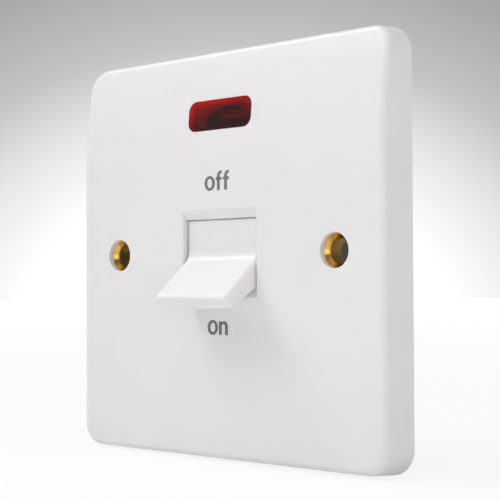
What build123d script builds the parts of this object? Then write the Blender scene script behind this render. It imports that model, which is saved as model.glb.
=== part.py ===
from build123d import *
import math
import os

# Double pole switch with a neon indicator, for a single wall box. Sizes in millimetres, angles in degrees.
# +X is right, +Z is up, the front faces -Y, and y = 0 is the wall plane behind the plate's rim.

# Front plate
plate_size = 85.0
plate_projection = 8.3
plate_draft = 4.5
plate_corner_radius = 5.2
plate_edge_radius = 1.3
face_thickness = 2.6
rim_thickness = 2.4
bend_start_height = 19.0
bend_radius = 100.0

# Fixing holes and their eyelets
fixing_centres = 60.3
eyelet_bore_radius = 2.4
eyelet_wall = 0.6
eyelet_head_radius = 3.35
eyelet_head_depth = 1.45
eyelet_head_sink = 1.25
eyelet_flare_depth = 1.15
eyelet_flare_lip = 0.1
eyelet_length = 4.15
eyelet_flange_radius = 4.2
eyelet_flange_thickness = 0.7
eyelet_clearance = 0.05
mouth_edge_radius = 0.3
fixing_boss_radius = 5.2
boss_rib_thickness = 1.4

# Lever opening and lever
opening_width = 20.7
opening_height = 18.1
opening_edge_radius = 0.3
bevel_depth = 1.2
pivot_depth = 7.1
lever_width = 20.2
lever_tilt = 34.5
lever_tip_reach = 18.0
lever_tip_thickness = 3.1
lever_flank_angle = 5.2
lever_tip_edge_radius = 0.9
lever_side_edge_radius = 0.8
lever_valley_radius = 3.5
skirt_radius = 8.95
skirt_clearance = 0.3
trunnion_radius = 2.2
trunnion_clearance = 0.05
trunnion_reach = 12.2
trunnion_end_clearance = 0.25
cheek_clearance = 0.3
keeper_clearance = 0.1

# Plungers and their springs, in the lever
pole_offset = 5.2
plunger_radius = 1.7
plunger_clearance = 0.05
plunger_tip_reach = 9.8
plunger_length = 7.0
plunger_hub_width = 6.0
plunger_hub_height = 6.4
plunger_hub_reach = 8.0
spring_length = 6.8
spring_wire_radius = 0.25
spring_mean_radius = 1.25
spring_turns = 6
spring_end_clearance = 0.1

# See-saw contact arms
nose_to_fulcrum = 2.1
arm_tilt = 10.0
arm_width = 4.5
arm_thickness = 1.5
arm_back_gap = 0.15
arm_wing_reach = 10.4
arm_horn_reach = 6.5
arm_horn_height = 5.5
cradle_clearance = 0.15
fulcrum_radius = 1.0
fulcrum_clearance = 0.05
fulcrum_web_thickness = 1.4
contact_reach = 9.0
tip_radius = 1.6
moving_tip_height = 0.7
fixed_tip_height = 0.6
contact_gap = 0.05
strip_thickness = 1.2
contact_pad_length = 4.0

# Base
base_face_clearance = 0.05
base_half_height = 24.5
base_half_width = 15.5
waist_half_width = 13.0
well_half_height = 12.0
base_back = 22.5
well_floor = 20.0
partition = 2.0
base_wall = 2.0
barrier_thickness = 1.6
barrier_clearance = 0.5
chamber_floor = 7.5
spine_half_width = 1.0
strip_clearance = 0.1
base_edge_radius = 1.0
post_side_clearance = 0.4
ear_z = 16.0
ear_radius = 3.2
ear_thickness = 3.0
ear_front = -1.5
post_radius = 3.0

# Base screws
screw_radius = 1.45
screw_clearance = 0.05
screw_hole_clearance = 0.25
screw_head_radius = 2.6
screw_head_height = 1.8
screw_head_edge_radius = 0.7
screw_tip = -6.0
screw_tip_room = 0.4

# Terminals
terminal_width = 10.5
terminal_height = 9.6
terminal_depth = 11.0
terminal_x = 8.0
terminal_edge_chamfer = 0.5
terminal_side_clearance = 0.25
cable_bore_radius = 3.0
cable_bore_depth = 4.7
clamp_radius = 2.4
clamp_clearance = 0.05
clamp_stand = 2.0
clamp_back_off = 0.2
slot_width = 0.9
slot_depth = 1.1

# Neon indicator
lens_width = 17.6
lens_height = 6.3
lens_corner_radius = 2.0
lens_clearance = 0.05
lens_thickness = 2.6
lens_wall = 1.2
lens_side_wall = 2.0
lens_foot_wall = 0.85
lens_arch_rise = 1.9
lens_gate_width = 1.3
lens_gate_height = 0.8
lens_gate_depth = 1.4
lens_back = -3.4
lens_flange_overlap = 0.6
lens_flange_thickness = 1.0
cover_wall = 0.9
cover_half_width = 10.2
cover_half_height = 3.7
cover_depth = 5.1
cover_base_clearance = 0.4
lamp_radius = 2.0
lamp_half_length = 5.5
lamp_y = -1.3
lead_radius = 0.5
lead_clearance = 0.3
lead_x = 8.0
lead_height = 19.0
lead_corner_radius = 1.2
resistor_radius = 1.15
resistor_start = 1.6
resistor_length = 4.6
clip_thickness = 1.2
clip_half_height = 2.0
clip_clearance = 0.2
clip_reach = 0.5

# Earthing
strap_thickness = 0.8
strap_width = 5.5
strap_base_clearance = 1.0
strap_ring_radius = 4.6
strap_corner_radius = 2.5
earth_block_x = -26.0
earth_block_width = 8.0
earth_bore_radius = 2.2
earth_bore_clearance = 0.6
earth_screw_grip = 2.8
earth_screw_radius = 1.8
earth_screw_stand = 1.8

# Levels that follow from the sizes above
face_y = -plate_projection
inner_face_y = face_y + face_thickness
pivot_y = face_y + pivot_depth
fulcrum_reach = plunger_tip_reach + plunger_radius + nose_to_fulcrum
fulcrum_y = pivot_y + fulcrum_reach
relief_radius = skirt_radius + skirt_clearance
skirt_distance = pivot_depth - bevel_depth
bevel_inner_half = math.sqrt(relief_radius**2 - skirt_distance**2)
well_half_width = lever_width / 2 + cheek_clearance
terminal_front = chamber_floor + partition
terminal_back = terminal_front + terminal_depth
terminal_low = well_half_height + partition
strip_front = well_floor - strip_thickness
fixing_x = fixing_centres / 2
eyelet_front = face_y + eyelet_head_sink
eyelet_back = eyelet_front + eyelet_length
strap_back = eyelet_back - eyelet_flange_thickness
strap_front = strap_back - strap_thickness
strap_height = -(base_half_height + strap_base_clearance + strap_width / 2)
eyelet_outer_radius = eyelet_bore_radius + eyelet_wall
ear_x = base_half_width + post_side_clearance + post_radius
lens_flange_front = lens_back - lens_flange_thickness
lens_centre_height = base_half_height + cover_base_clearance + cover_half_height
earth_bore_y = earth_bore_clearance + earth_bore_radius
earth_block_back = earth_bore_y + earth_bore_radius + earth_screw_grip

# How far a cut runs past what it cuts, and how near two places count as the same
margin = 5.0
near = 0.01


def block(x0, x1, y0, y1, z0, z1):
    """A box between two corners."""
    return Pos((x0 + x1) / 2, (y0 + y1) / 2, (z0 + z1) / 2) * Box(x1 - x0, y1 - y0, z1 - z0)


def rod_y(x, z, radius, y0, y1):
    """A round rod along Y."""
    return Pos(x, (y0 + y1) / 2, z) * Rot(90, 0, 0) * Cylinder(radius, y1 - y0)


def rod_x(y, z, radius, x0, x1):
    """A round rod along X."""
    return Pos((x0 + x1) / 2, y, z) * Rot(0, 90, 0) * Cylinder(radius, x1 - x0)


def rod_z(x, y, radius, z0, z1):
    """A round rod along Z."""
    return Pos(x, y, (z0 + z1) / 2) * Cylinder(radius, z1 - z0)


def side_profile(sketch, x_centre, width):
    """A side view, drawn in Y and Z, extruded to a width about x_centre."""
    return Pos(x_centre, 0, 0) * extrude(Plane.YZ * sketch, width / 2, both=True)


def ahead_of_face(depth):
    """All the space ahead of the plate's face, or of a surface that lies depth behind it."""
    top = plate_size
    low = -plate_size
    front = face_y - plate_size
    start = face_y + depth
    radius = bend_radius - depth
    centre_y = face_y + bend_radius
    rise = top - bend_start_height
    bend_end = (centre_y - math.sqrt(radius**2 - rise**2), top)
    half_rise = rise / 2
    bend_middle = (centre_y - math.sqrt(radius**2 - half_rise**2), bend_start_height + half_rise)
    outline = [
        Line((start, low), (start, bend_start_height)),
        ThreePointArc((start, bend_start_height), bend_middle, bend_end),
        Polyline(bend_end, (front, top), (front, low), (start, low)),
    ]
    return side_profile(make_face(outline), 0, 2 * plate_size)


def drafted_square(inset):
    """The plate's outline at the wall, moved in by inset, drawn forward with the moulding draft."""
    size = plate_size - 2 * inset
    outline = RectangleRounded(size, size, plate_corner_radius - inset)
    return extrude(Plane.XZ * outline, plate_projection, taper=plate_draft)


def lens_outline(clearance):
    """The lens's front outline, grown by a clearance, through the whole thickness of the plate."""
    outline = RectangleRounded(
        lens_width + 2 * clearance, lens_height + 2 * clearance, lens_corner_radius + clearance
    )
    plane = Plane.XZ.offset(-lens_back)
    return Pos(0, 0, lens_centre_height) * extrude(plane * outline, plate_projection)


def plate_shell():
    """The drafted square with its bent face, rounded front edges and hollow back."""
    shell = drafted_square(0) - ahead_of_face(0)
    front_edges = []
    for edge in shell.edges():
        centre = edge.center()
        on_rim = abs(centre.Y) < plate_edge_radius
        on_seam = abs(centre.Z - bend_start_height) < near and abs(centre.X) < near
        runs_back = edge.bounding_box().size.Y > plate_edge_radius and edge.bounding_box().max.Y > -near
        if not on_rim and not on_seam and not runs_back:
            front_edges.append(edge)
    shell = fillet(front_edges, plate_edge_radius)
    return shell - (drafted_square(rim_thickness) - ahead_of_face(face_thickness))


def lever_opening():
    """The opening in the face: sloped top and bottom, then a round clearance for the lever's skirts."""
    half = opening_height / 2
    inner_y = face_y + bevel_depth
    slope = (half - bevel_inner_half) / bevel_depth
    front_y = face_y - margin
    front_half = half + slope * margin
    bevels = make_face(
        Polyline(
            (front_y, -front_half), (front_y, front_half), (inner_y, bevel_inner_half),
            (inner_y, -bevel_inner_half), close=True,
        )
    )
    ahead = Pos(inner_y - plate_size / 2, 0) * Rectangle(plate_size, plate_size)
    relief = Pos(pivot_y, 0) * Circle(relief_radius) - ahead
    return side_profile(bevels + relief, 0, opening_width)


def front_plate():
    plate = plate_shell()
    for side in (-1, 1):
        x = side * fixing_x
        plate += rod_y(x, 0, fixing_boss_radius, inner_face_y - face_thickness / 2, strap_front)
        rim_x = side * (plate_size / 2 - rim_thickness)
        low_x, high_x = sorted((x, rim_x))
        plate += block(
            low_x, high_x, inner_face_y - face_thickness / 2, strap_front,
            -boss_rib_thickness / 2, boss_rib_thickness / 2,
        )
        plate += keeper(side)
        plate += lamp_clip(side)
        for end in (-1, 1):
            plate += rod_y(
                side * ear_x, end * ear_z, post_radius, inner_face_y - face_thickness / 2, ear_front
            )
    plate -= lever_opening()
    plate -= lens_outline(lens_clearance)
    for side in (-1, 1):
        x = side * fixing_x
        seat_y = eyelet_front + eyelet_head_depth
        plate -= rod_y(x, 0, eyelet_outer_radius + eyelet_clearance, face_y - margin, margin)
        plate -= rod_y(x, 0, eyelet_head_radius + eyelet_clearance, face_y - margin, seat_y)
        for end in (-1, 1):
            pilot_end = screw_tip - screw_tip_room
            plate -= rod_y(side * ear_x, end * ear_z, screw_radius + screw_clearance, pilot_end, margin)
    mouths = [
        edge
        for edge in plate.edges().filter_by(GeomType.CIRCLE)
        if abs(edge.arc_center.Y - face_y) < near and abs(abs(edge.arc_center.X) - fixing_x) < near
    ]
    plate = fillet(mouths, mouth_edge_radius)
    opening_edges = [
        edge
        for edge in plate.edges().filter_by(GeomType.LINE)
        if abs(edge.center().Y - face_y) < near
        and abs(edge.center().X) < opening_width / 2 + near
        and abs(edge.center().Z) < opening_height / 2 + near
    ]
    return fillet(opening_edges, opening_edge_radius)


def keeper(side):
    """A tongue behind the face that closes the open end of a trunnion slot."""
    x_in = well_half_width + trunnion_end_clearance
    x_out = trunnion_reach
    low_x, high_x = sorted((side * x_in, side * x_out))
    half = trunnion_radius - keeper_clearance
    end_y = pivot_y - trunnion_radius - keeper_clearance
    return block(low_x, high_x, inner_face_y - face_thickness / 2, end_y, -half, half)


def lamp_clip(side):
    """A flat post beside the lamp cover."""
    x_in = cover_half_width + clip_clearance
    low_x, high_x = sorted((side * x_in, side * (x_in + clip_thickness)))
    low_z = lens_centre_height - clip_half_height
    high_z = lens_centre_height + clip_half_height
    return block(low_x, high_x, inner_face_y - face_thickness / 2, clip_reach, low_z, high_z)


def fixing_eyelets():
    """Two brass eyelets, flared at the front and rolled over the earth strap behind."""
    outline = Polyline(
        (eyelet_head_radius - eyelet_flare_lip, eyelet_front),
        (eyelet_head_radius, eyelet_front),
        (eyelet_head_radius, eyelet_front + eyelet_head_depth),
        (eyelet_outer_radius, eyelet_front + eyelet_head_depth),
        (eyelet_outer_radius, strap_back),
        (eyelet_flange_radius, strap_back),
        (eyelet_flange_radius, eyelet_back),
        (eyelet_bore_radius, eyelet_back),
        (eyelet_bore_radius, eyelet_front + eyelet_flare_depth),
        close=True,
    )
    eyelet = revolve(make_face(outline), Axis.Y)
    return Pos(-fixing_x, 0, 0) * eyelet + Pos(fixing_x, 0, 0) * eyelet


def at_pivot(piece):
    """Turns a piece drawn about the pivot, lever straight out, to the rest position."""
    return Pos(0, pivot_y, 0) * Rot(lever_tilt, 0, 0) * piece


def lever_section():
    """The lever's side view about its pivot: the blade, and a skirt above and below it."""
    body = Circle(skirt_radius)
    beyond = 2 * skirt_radius
    for direction in (180 - lever_tilt, 180 + lever_tilt):
        body -= Rot(0, 0, direction) * Pos(skirt_distance + beyond, 0) * Rectangle(2 * beyond, 4 * beyond)
    body -= Pos(beyond, 0) * Rectangle(2 * beyond, 4 * beyond)
    taper = math.tan(math.radians(lever_flank_angle))
    tip_half = lever_tip_thickness / 2
    root_half = tip_half + lever_tip_reach * taper
    blade = make_face(
        Polyline(
            (-lever_tip_reach, -tip_half), (-lever_tip_reach, tip_half), (0, root_half), (0, -root_half),
            close=True,
        )
    )
    section = body + blade
    tilt = math.radians(lever_tilt)
    valley_y = (skirt_distance - root_half * math.sin(tilt)) / (taper * math.sin(tilt) - math.cos(tilt))
    valleys = [v for v in section.vertices() if abs(v.X - valley_y) < near]
    section = fillet(valleys, lever_valley_radius)
    tips = [v for v in section.vertices() if v.X < near - lever_tip_reach]
    return fillet(tips, lever_tip_edge_radius)


def switch_lever():
    lever = side_profile(lever_section(), 0, lever_width)
    half = lever_width / 2
    rounded = [
        edge
        for edge in lever.edges()
        if abs(abs(edge.center().X) - half) < near and edge.center().Y < -skirt_distance
    ]
    lever = fillet(rounded, lever_side_edge_radius)
    lever += rod_x(0, 0, trunnion_radius, -trunnion_reach, trunnion_reach)
    bore_end = plunger_tip_reach - plunger_length - spring_length
    for side in (-1, 1):
        x = side * pole_offset
        lever += block(
            x - plunger_hub_width / 2, x + plunger_hub_width / 2, -skirt_distance / 2, plunger_hub_reach,
            -plunger_hub_height / 2, plunger_hub_height / 2,
        )
        lever -= rod_y(x, 0, plunger_radius + plunger_clearance, bore_end, plunger_tip_reach)
    return at_pivot(lever)


def plunger(side):
    """A round-nosed plunger, drawn about the pivot and turned with the lever."""
    x = side * pole_offset
    shank = rod_y(x, 0, plunger_radius, plunger_tip_reach - plunger_length, plunger_tip_reach)
    nose = Pos(x, plunger_tip_reach, 0) * Sphere(plunger_radius)
    return at_pivot(shank + nose)


def plunger_spring(side):
    """A compression spring between the bore's end and the plunger."""
    start = plunger_tip_reach - plunger_length - spring_length + spring_wire_radius + spring_end_clearance
    height = spring_length - 2 * spring_wire_radius - 2 * spring_end_clearance
    helix = Helix(height / spring_turns, height, spring_mean_radius, center=(0, 0, 0))
    wire = sweep(Plane(origin=helix @ 0, z_dir=helix % 0) * Circle(spring_wire_radius), path=helix)
    return at_pivot(Pos(side * pole_offset, start, 0) * Rot(-90, 0, 0) * wire)


def cradle():
    """Height above the fulcrum, and radius, of the hollow in a contact arm that clears the plunger's nose.

    The nose moves on a circle about the lever's pivot while the arm rocks, so its path over the arm is a
    shallow arc, found here from the middle and the end of the stroke."""
    path = []
    steps = 20
    for step in range(steps + 1):
        share = step / steps
        swing = math.radians(share * (lever_tilt + arm_tilt))
        rock = math.radians(share * arm_tilt)
        along = plunger_tip_reach * math.sin(swing) - fulcrum_reach * math.sin(rock)
        above = fulcrum_reach * math.cos(rock) - plunger_tip_reach * math.cos(swing)
        path.append((along, above))
    middle = path[0][1]
    end_along, end_above = path[-1]
    dip = end_above - middle
    radius = (end_along**2 + dip**2) / (2 * dip)
    centre = middle + radius
    reach = max(math.hypot(along, above - centre) for along, above in path)
    return centre, reach + plunger_radius + cradle_clearance


def on_arm(sketch):
    """Places a side view drawn about the fulcrum, arm upright and front to -Y, at the arm's rest tilt."""
    return Pos(fulcrum_y, 0) * Rot(0, 0, -arm_tilt) * sketch


def contact_arm(side):
    """A rocking arm: a flat wing to the contact, and a cradle for the plunger over the fulcrum."""
    front = arm_back_gap + arm_thickness
    wing_length = arm_wing_reach + arm_horn_reach
    wing = Pos(-(arm_back_gap + front) / 2, (arm_wing_reach - arm_horn_reach) / 2) * Rectangle(
        arm_thickness, wing_length
    )
    horn_depth = arm_horn_height - arm_back_gap
    horns = Pos(-arm_back_gap - horn_depth / 2, 0) * Rectangle(horn_depth, 2 * arm_horn_reach)
    cradle_height, cradle_radius = cradle()
    hollow = Pos(-cradle_height, 0) * Circle(cradle_radius)
    groove = Circle(fulcrum_radius + fulcrum_clearance)
    return side_profile(on_arm(wing + horns - hollow - groove), side * pole_offset, arm_width)


def contact_tip(side, back, front):
    """A silver button square to the arm at its contact end, between two depths behind the fulcrum line."""
    button = rod_y(side * pole_offset, contact_reach, tip_radius, front, back)
    return Pos(0, fulcrum_y, 0) * Rot(-arm_tilt, 0, 0) * button


def moving_tip(side):
    return contact_tip(side, moving_tip_height - arm_back_gap, -arm_back_gap)


def fixed_tip(side):
    front = moving_tip_height - arm_back_gap + contact_gap
    return contact_tip(side, front + fixed_tip_height, front)


def behind_floor():
    return Pos(well_floor + plate_size / 2, 0) * Rectangle(plate_size, 2 * plate_size)


def fixed_contact(side):
    """A strip on the well's floor, from the load terminal to the raised pad under the fixed tip."""
    pad_front = moving_tip_height - arm_back_gap + contact_gap + fixed_tip_height
    pad_depth = well_floor - fulcrum_y
    pad = on_arm(Pos(pad_front + pad_depth / 2, contact_reach) * Rectangle(pad_depth, contact_pad_length))
    foot_low = contact_reach
    foot = Pos(well_floor - strip_thickness / 2, (foot_low + terminal_low) / 2) * Rectangle(
        strip_thickness, terminal_low - foot_low
    )
    return side_profile(pad + foot - behind_floor(), side * pole_offset, arm_width)


def fulcrum_strip(side):
    """A strip on the well's floor, from the supply terminal to the round-edged ridge that carries the arm."""
    half_web = fulcrum_web_thickness / 2
    ridge = Pos(fulcrum_y, 0) * Circle(fulcrum_radius)
    web = Pos((fulcrum_y + well_floor) / 2, 0) * Rectangle(well_floor - fulcrum_y, fulcrum_web_thickness)
    foot = Pos(well_floor - strip_thickness / 2, (half_web - terminal_low) / 2) * Rectangle(
        strip_thickness, terminal_low + half_web
    )
    return side_profile(ridge + web + foot, side * pole_offset, arm_width)


def switch_base():
    """The moulded body: mechanism well in the middle, terminal pockets and lamp chambers at the ends."""
    end_low = well_half_height
    body = block(
        -waist_half_width, waist_half_width, inner_face_y, base_back, -base_half_height, base_half_height
    )
    for end in (-1, 1):
        low_z, high_z = sorted((end * end_low, end * base_half_height))
        body += block(-base_half_width, base_half_width, inner_face_y, base_back, low_z, high_z)
    corners = [
        edge
        for edge in body.edges().filter_by(Axis.Y)
        if abs(abs(edge.center().X) - base_half_width) < near
    ]
    body = fillet(corners, base_edge_radius) - ahead_of_face(face_thickness + base_face_clearance)
    well_low = inner_face_y - margin
    body -= block(
        -well_half_width, well_half_width, well_low, well_floor, -well_half_height, well_half_height
    )
    body += barrier()
    for side in (-1, 1):
        body -= trunnion_slot(side)
        for end in (-1, 1):
            body -= terminal_pocket(side, end)
            body -= chamber(side, end)
            body -= strip_slot(side, end)
            body += ear(side, end)
            body -= rod_y(side * ear_x, end * ear_z, screw_radius + screw_hole_clearance, -margin, margin)
        hole = lead_radius + lead_clearance
        body -= rod_z(side * lead_x, lamp_y, hole, base_half_height - margin, base_half_height + margin)
        body -= rod_y(side * lead_x, lead_height, hole, chamber_floor - margin, terminal_front + partition)
    return body


def barrier():
    """The wall between the two poles, cut back round the lever's sweep."""
    half = barrier_thickness / 2
    wall = block(-half, half, pivot_y, well_floor, -well_half_height, well_half_height)
    return wall - rod_x(pivot_y, 0, skirt_radius + barrier_clearance, -margin, margin)


def trunnion_slot(side):
    """A slot in a cheek, open to the front, with a round bottom that carries a trunnion."""
    radius = trunnion_radius + trunnion_clearance
    inner_x = side * (well_half_width - margin / 2)
    outer_x = side * (trunnion_reach + trunnion_end_clearance)
    low_x, high_x = sorted((inner_x, outer_x))
    slot = block(low_x, high_x, inner_face_y - margin, pivot_y, -radius, radius)
    return slot + rod_x(pivot_y, 0, radius, low_x, high_x)


def terminal_pocket(side, end):
    """A pocket for a terminal, open at the back and at the end of the base."""
    half = terminal_width / 2 + terminal_side_clearance
    x = side * terminal_x
    low_z, high_z = sorted((end * terminal_low, end * (base_half_height + margin)))
    return block(x - half, x + half, terminal_front, base_back + margin, low_z, high_z)


def chamber(side, end):
    """A hollow behind the plate, in front of a terminal pocket."""
    low_x, high_x = sorted((side * spine_half_width, side * (base_half_width - base_wall)))
    low_z, high_z = sorted((end * terminal_low, end * (base_half_height - base_wall)))
    return block(low_x, high_x, inner_face_y - margin, chamber_floor, low_z, high_z)


def strip_slot(side, end):
    """The way of a contact strip through the wall between the well and a terminal pocket."""
    half = arm_width / 2 + strip_clearance
    x = side * pole_offset
    low_z, high_z = sorted((end * (well_half_height - margin), end * (terminal_low + partition)))
    return block(x - half, x + half, strip_front - strip_clearance, well_floor, low_z, high_z)


def ear(side, end):
    """A fixing ear on the flank of the base."""
    low_x, high_x = sorted((side * (base_half_width - base_wall), side * ear_x))
    back = ear_front + ear_thickness
    z = end * ear_z
    arm = block(low_x, high_x, ear_front, back, z - ear_radius, z + ear_radius)
    cleared = terminal_pocket(side, end) + chamber(side, end)
    return arm + rod_y(side * ear_x, z, ear_radius, ear_front, back) - cleared


def base_screws():
    """Four pan-head screws through the ears into the plate's posts."""
    seat = ear_front + ear_thickness
    head = rod_y(0, 0, screw_head_radius, seat, seat + screw_head_height)
    head = fillet(head.edges().sort_by(Axis.Y)[-1], screw_head_edge_radius)
    slot = block(
        -margin, margin, seat + screw_head_height - slot_depth, seat + screw_head_height + margin,
        -slot_width / 2, slot_width / 2,
    )
    screw = head - slot + rod_y(0, 0, screw_radius, screw_tip, seat)
    return Compound([Pos(side * ear_x, 0, end * ear_z) * screw for side in (-1, 1) for end in (-1, 1)])


def upright_bar(x0, x1, y0, y1, z0, z1):
    """A length of brass bar along Z with its long edges broken."""
    bar = block(x0, x1, y0, y1, z0, z1)
    return chamfer(bar.edges().filter_by(Axis.Z), terminal_edge_chamfer)


def terminal(side, end):
    """A brass tunnel terminal: cable bore from the end, clamping screw from the back."""
    x = side * terminal_x
    half = terminal_width / 2
    low_z, high_z = sorted((end * terminal_low, end * (terminal_low + terminal_height)))
    bore_y = terminal_front + cable_bore_depth
    body = upright_bar(x - half, x + half, terminal_front, terminal_back, low_z, high_z)
    body -= rod_z(x, bore_y, cable_bore_radius, low_z - margin, high_z + margin)
    screw_z = end * (terminal_low + terminal_height / 2)
    return body - rod_y(x, screw_z, clamp_radius + clamp_clearance, bore_y, terminal_back + margin)


def clamp_screw(radius, tip_y, end_y):
    """A slotted headless screw along Y."""
    slot = block(-margin, margin, end_y - slot_depth, end_y + margin, -slot_width / 2, slot_width / 2)
    return rod_y(0, 0, radius, tip_y, end_y) - slot


def terminal_screws():
    """Four clamping screws, backed off so that the cable bores are open."""
    tip_y = terminal_front + cable_bore_depth + cable_bore_radius + clamp_back_off
    screw = clamp_screw(clamp_radius, tip_y, terminal_back + clamp_stand)
    z = terminal_low + terminal_height / 2
    return Compound([Pos(side * terminal_x, 0, end * z) * screw for side in (-1, 1) for end in (-1, 1)])


def lens_hollow():
    """The hollow behind the lens's front: flat foot, straight sides and an arched roof."""
    half = lens_width / 2 - lens_side_wall
    foot = lens_foot_wall - lens_height / 2
    roof = lens_height / 2 - lens_wall
    spring_line = roof - lens_arch_rise
    outline = make_face(
        [
            Polyline((-half, spring_line), (-half, foot), (half, foot), (half, spring_line)),
            ThreePointArc((half, spring_line), (0, roof), (-half, spring_line)),
        ]
    )
    plane = Plane.XZ.offset(-lens_back - margin)
    depth = lens_back + margin - face_y - lens_thickness
    return Pos(0, 0, lens_centre_height) * extrude(plane * outline, depth)


def neon_lens():
    """A red lens, flush with the plate's face, hollow behind, with a flange inside the plate."""
    lens = lens_outline(0) - ahead_of_face(0)
    flange_plane = Plane.XZ.offset(-lens_back)
    flange = RectangleRounded(
        lens_width + 2 * lens_flange_overlap, lens_height + 2 * lens_flange_overlap,
        lens_corner_radius + lens_flange_overlap,
    )
    lens += Pos(0, 0, lens_centre_height) * extrude(flange_plane * flange, lens_flange_thickness)
    top_z = lens_centre_height + lens_height / 2
    gate = block(
        -lens_gate_width / 2, lens_gate_width / 2, lens_flange_front - lens_gate_depth, lens_flange_front,
        top_z - lens_gate_height, top_z + margin,
    )
    return lens - lens_hollow() - gate


def lamp_cover():
    """A thin-walled box behind the lens that holds the lamp."""
    back = lens_back + cover_depth
    low_z = lens_centre_height - cover_half_height
    high_z = lens_centre_height + cover_half_height
    box = block(-cover_half_width, cover_half_width, lens_back, back, low_z, high_z)
    box -= block(
        cover_wall - cover_half_width, cover_half_width - cover_wall, lens_back - margin, back - cover_wall,
        low_z + cover_wall, high_z - cover_wall,
    )
    for side in (-1, 1):
        x = side * lead_x
        half = lead_radius + lead_clearance
        box -= block(
            x - half, x + half, lens_back - margin, lamp_y + half, low_z - margin, low_z + margin / 2
        )
    return box


def neon_lamp():
    """A glass capsule lying along X behind the lens."""
    straight = lamp_half_length - lamp_radius
    glass = rod_x(lamp_y, lens_centre_height, lamp_radius, -straight, straight)
    for side in (-1, 1):
        glass += Pos(side * straight, lamp_y, lens_centre_height) * Sphere(lamp_radius)
    return glass


def lamp_lead(side, end_y):
    """A wire from an end of the lamp, down into the base and back to end_y."""
    x = side * lead_x
    route = FilletPolyline(
        (side * lamp_half_length, lamp_y, lens_centre_height),
        (x, lamp_y, lens_centre_height),
        (x, lamp_y, lead_height),
        (x, end_y, lead_height),
        radius=lead_corner_radius,
    )
    return sweep(Plane(origin=route @ 0, z_dir=route % 0) * Circle(lead_radius), path=route)


def lamp_leads():
    """The two lamp wires, one of them broken by the resistor."""
    tail = rod_y(lead_x, lead_height, lead_radius, resistor_start + resistor_length, terminal_front)
    return Compound([lamp_lead(-1, terminal_front), lamp_lead(1, resistor_start), tail])


def series_resistor():
    return rod_y(lead_x, lead_height, resistor_radius, resistor_start, resistor_start + resistor_length)


def earth_strap():
    """A flat strip under both eyelets' flanges, led round below the base."""
    low = strap_height - strap_width / 2
    half_span = fixing_x + strap_width / 2
    outline = Pos(0, low / 2) * Rectangle(2 * half_span, -low)
    inner_top = strap_height + strap_width / 2
    outline -= Pos(0, inner_top / 2 + plate_size / 2 + inner_top / 2) * Rectangle(
        2 * (fixing_x - strap_width / 2), plate_size
    )
    outline = fillet([v for v in outline.vertices() if v.Y < near + inner_top], strap_corner_radius)
    for side in (-1, 1):
        outline += Pos(side * fixing_x, 0) * Circle(strap_ring_radius)
        outline -= Pos(side * fixing_x, 0) * Circle(eyelet_outer_radius + eyelet_clearance)
    return extrude(Plane.XZ.offset(-strap_back) * outline, strap_thickness)


def earth_terminal():
    """A small brass tunnel terminal on the strap, tall enough for a cable to pass behind the plate's rim."""
    half = earth_block_width / 2
    low_x, high_x = earth_block_x - half, earth_block_x + half
    low_z, high_z = strap_height - half, strap_height + half
    body = upright_bar(low_x, high_x, strap_back, earth_block_back, low_z, high_z)
    body -= rod_z(earth_block_x, earth_bore_y, earth_bore_radius, low_z - margin, high_z + margin)
    return body - rod_y(
        earth_block_x, strap_height, earth_screw_radius + clamp_clearance, earth_bore_y,
        earth_block_back + margin,
    )


def earth_terminal_screw():
    tip_y = earth_bore_y + earth_bore_radius + clamp_back_off
    end_y = earth_block_back + earth_screw_stand
    return Pos(earth_block_x, 0, strap_height) * clamp_screw(earth_screw_radius, tip_y, end_y)


def all_pieces():
    """Every piece by its name. The live pole is on the left, and the load terminals are at the top."""
    pieces = {
        "front_plate": front_plate(),
        "fixing_eyelets": fixing_eyelets(),
        "switch_lever": switch_lever(),
        "switch_base": switch_base(),
        "base_screws": base_screws(),
        "terminal_screws": terminal_screws(),
        "fixed_contact_tips": Compound([fixed_tip(-1), fixed_tip(1)]),
        "neon_lens": neon_lens(),
        "lamp_cover": lamp_cover(),
        "neon_lamp": neon_lamp(),
        "lamp_leads": lamp_leads(),
        "series_resistor": series_resistor(),
        "earth_strap": earth_strap(),
        "earth_terminal": earth_terminal(),
        "earth_terminal_screw": earth_terminal_screw(),
    }
    for pole, side in (("live", -1), ("neutral", 1)):
        pieces[f"{pole}_plunger"] = plunger(side)
        pieces[f"{pole}_plunger_spring"] = plunger_spring(side)
        pieces[f"{pole}_contact_arm"] = contact_arm(side)
        pieces[f"{pole}_moving_tip"] = moving_tip(side)
        pieces[f"{pole}_fixed_contact"] = fixed_contact(side)
        pieces[f"{pole}_fulcrum_strip"] = fulcrum_strip(side)
        pieces[f"{pole}_load_terminal"] = terminal(side, 1)
        pieces[f"{pole}_supply_terminal"] = terminal(side, -1)
    return pieces


os.makedirs("parts", exist_ok=True)
for name, piece in all_pieces().items():
    export_step(piece, f"parts/{name}.step")
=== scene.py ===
"""Looks of a double pole wall switch: finishes, printed words, screw threads, the neon lamp and the stage."""

import math

import bmesh
import bpy
from mathutils import Matrix, Vector


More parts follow.
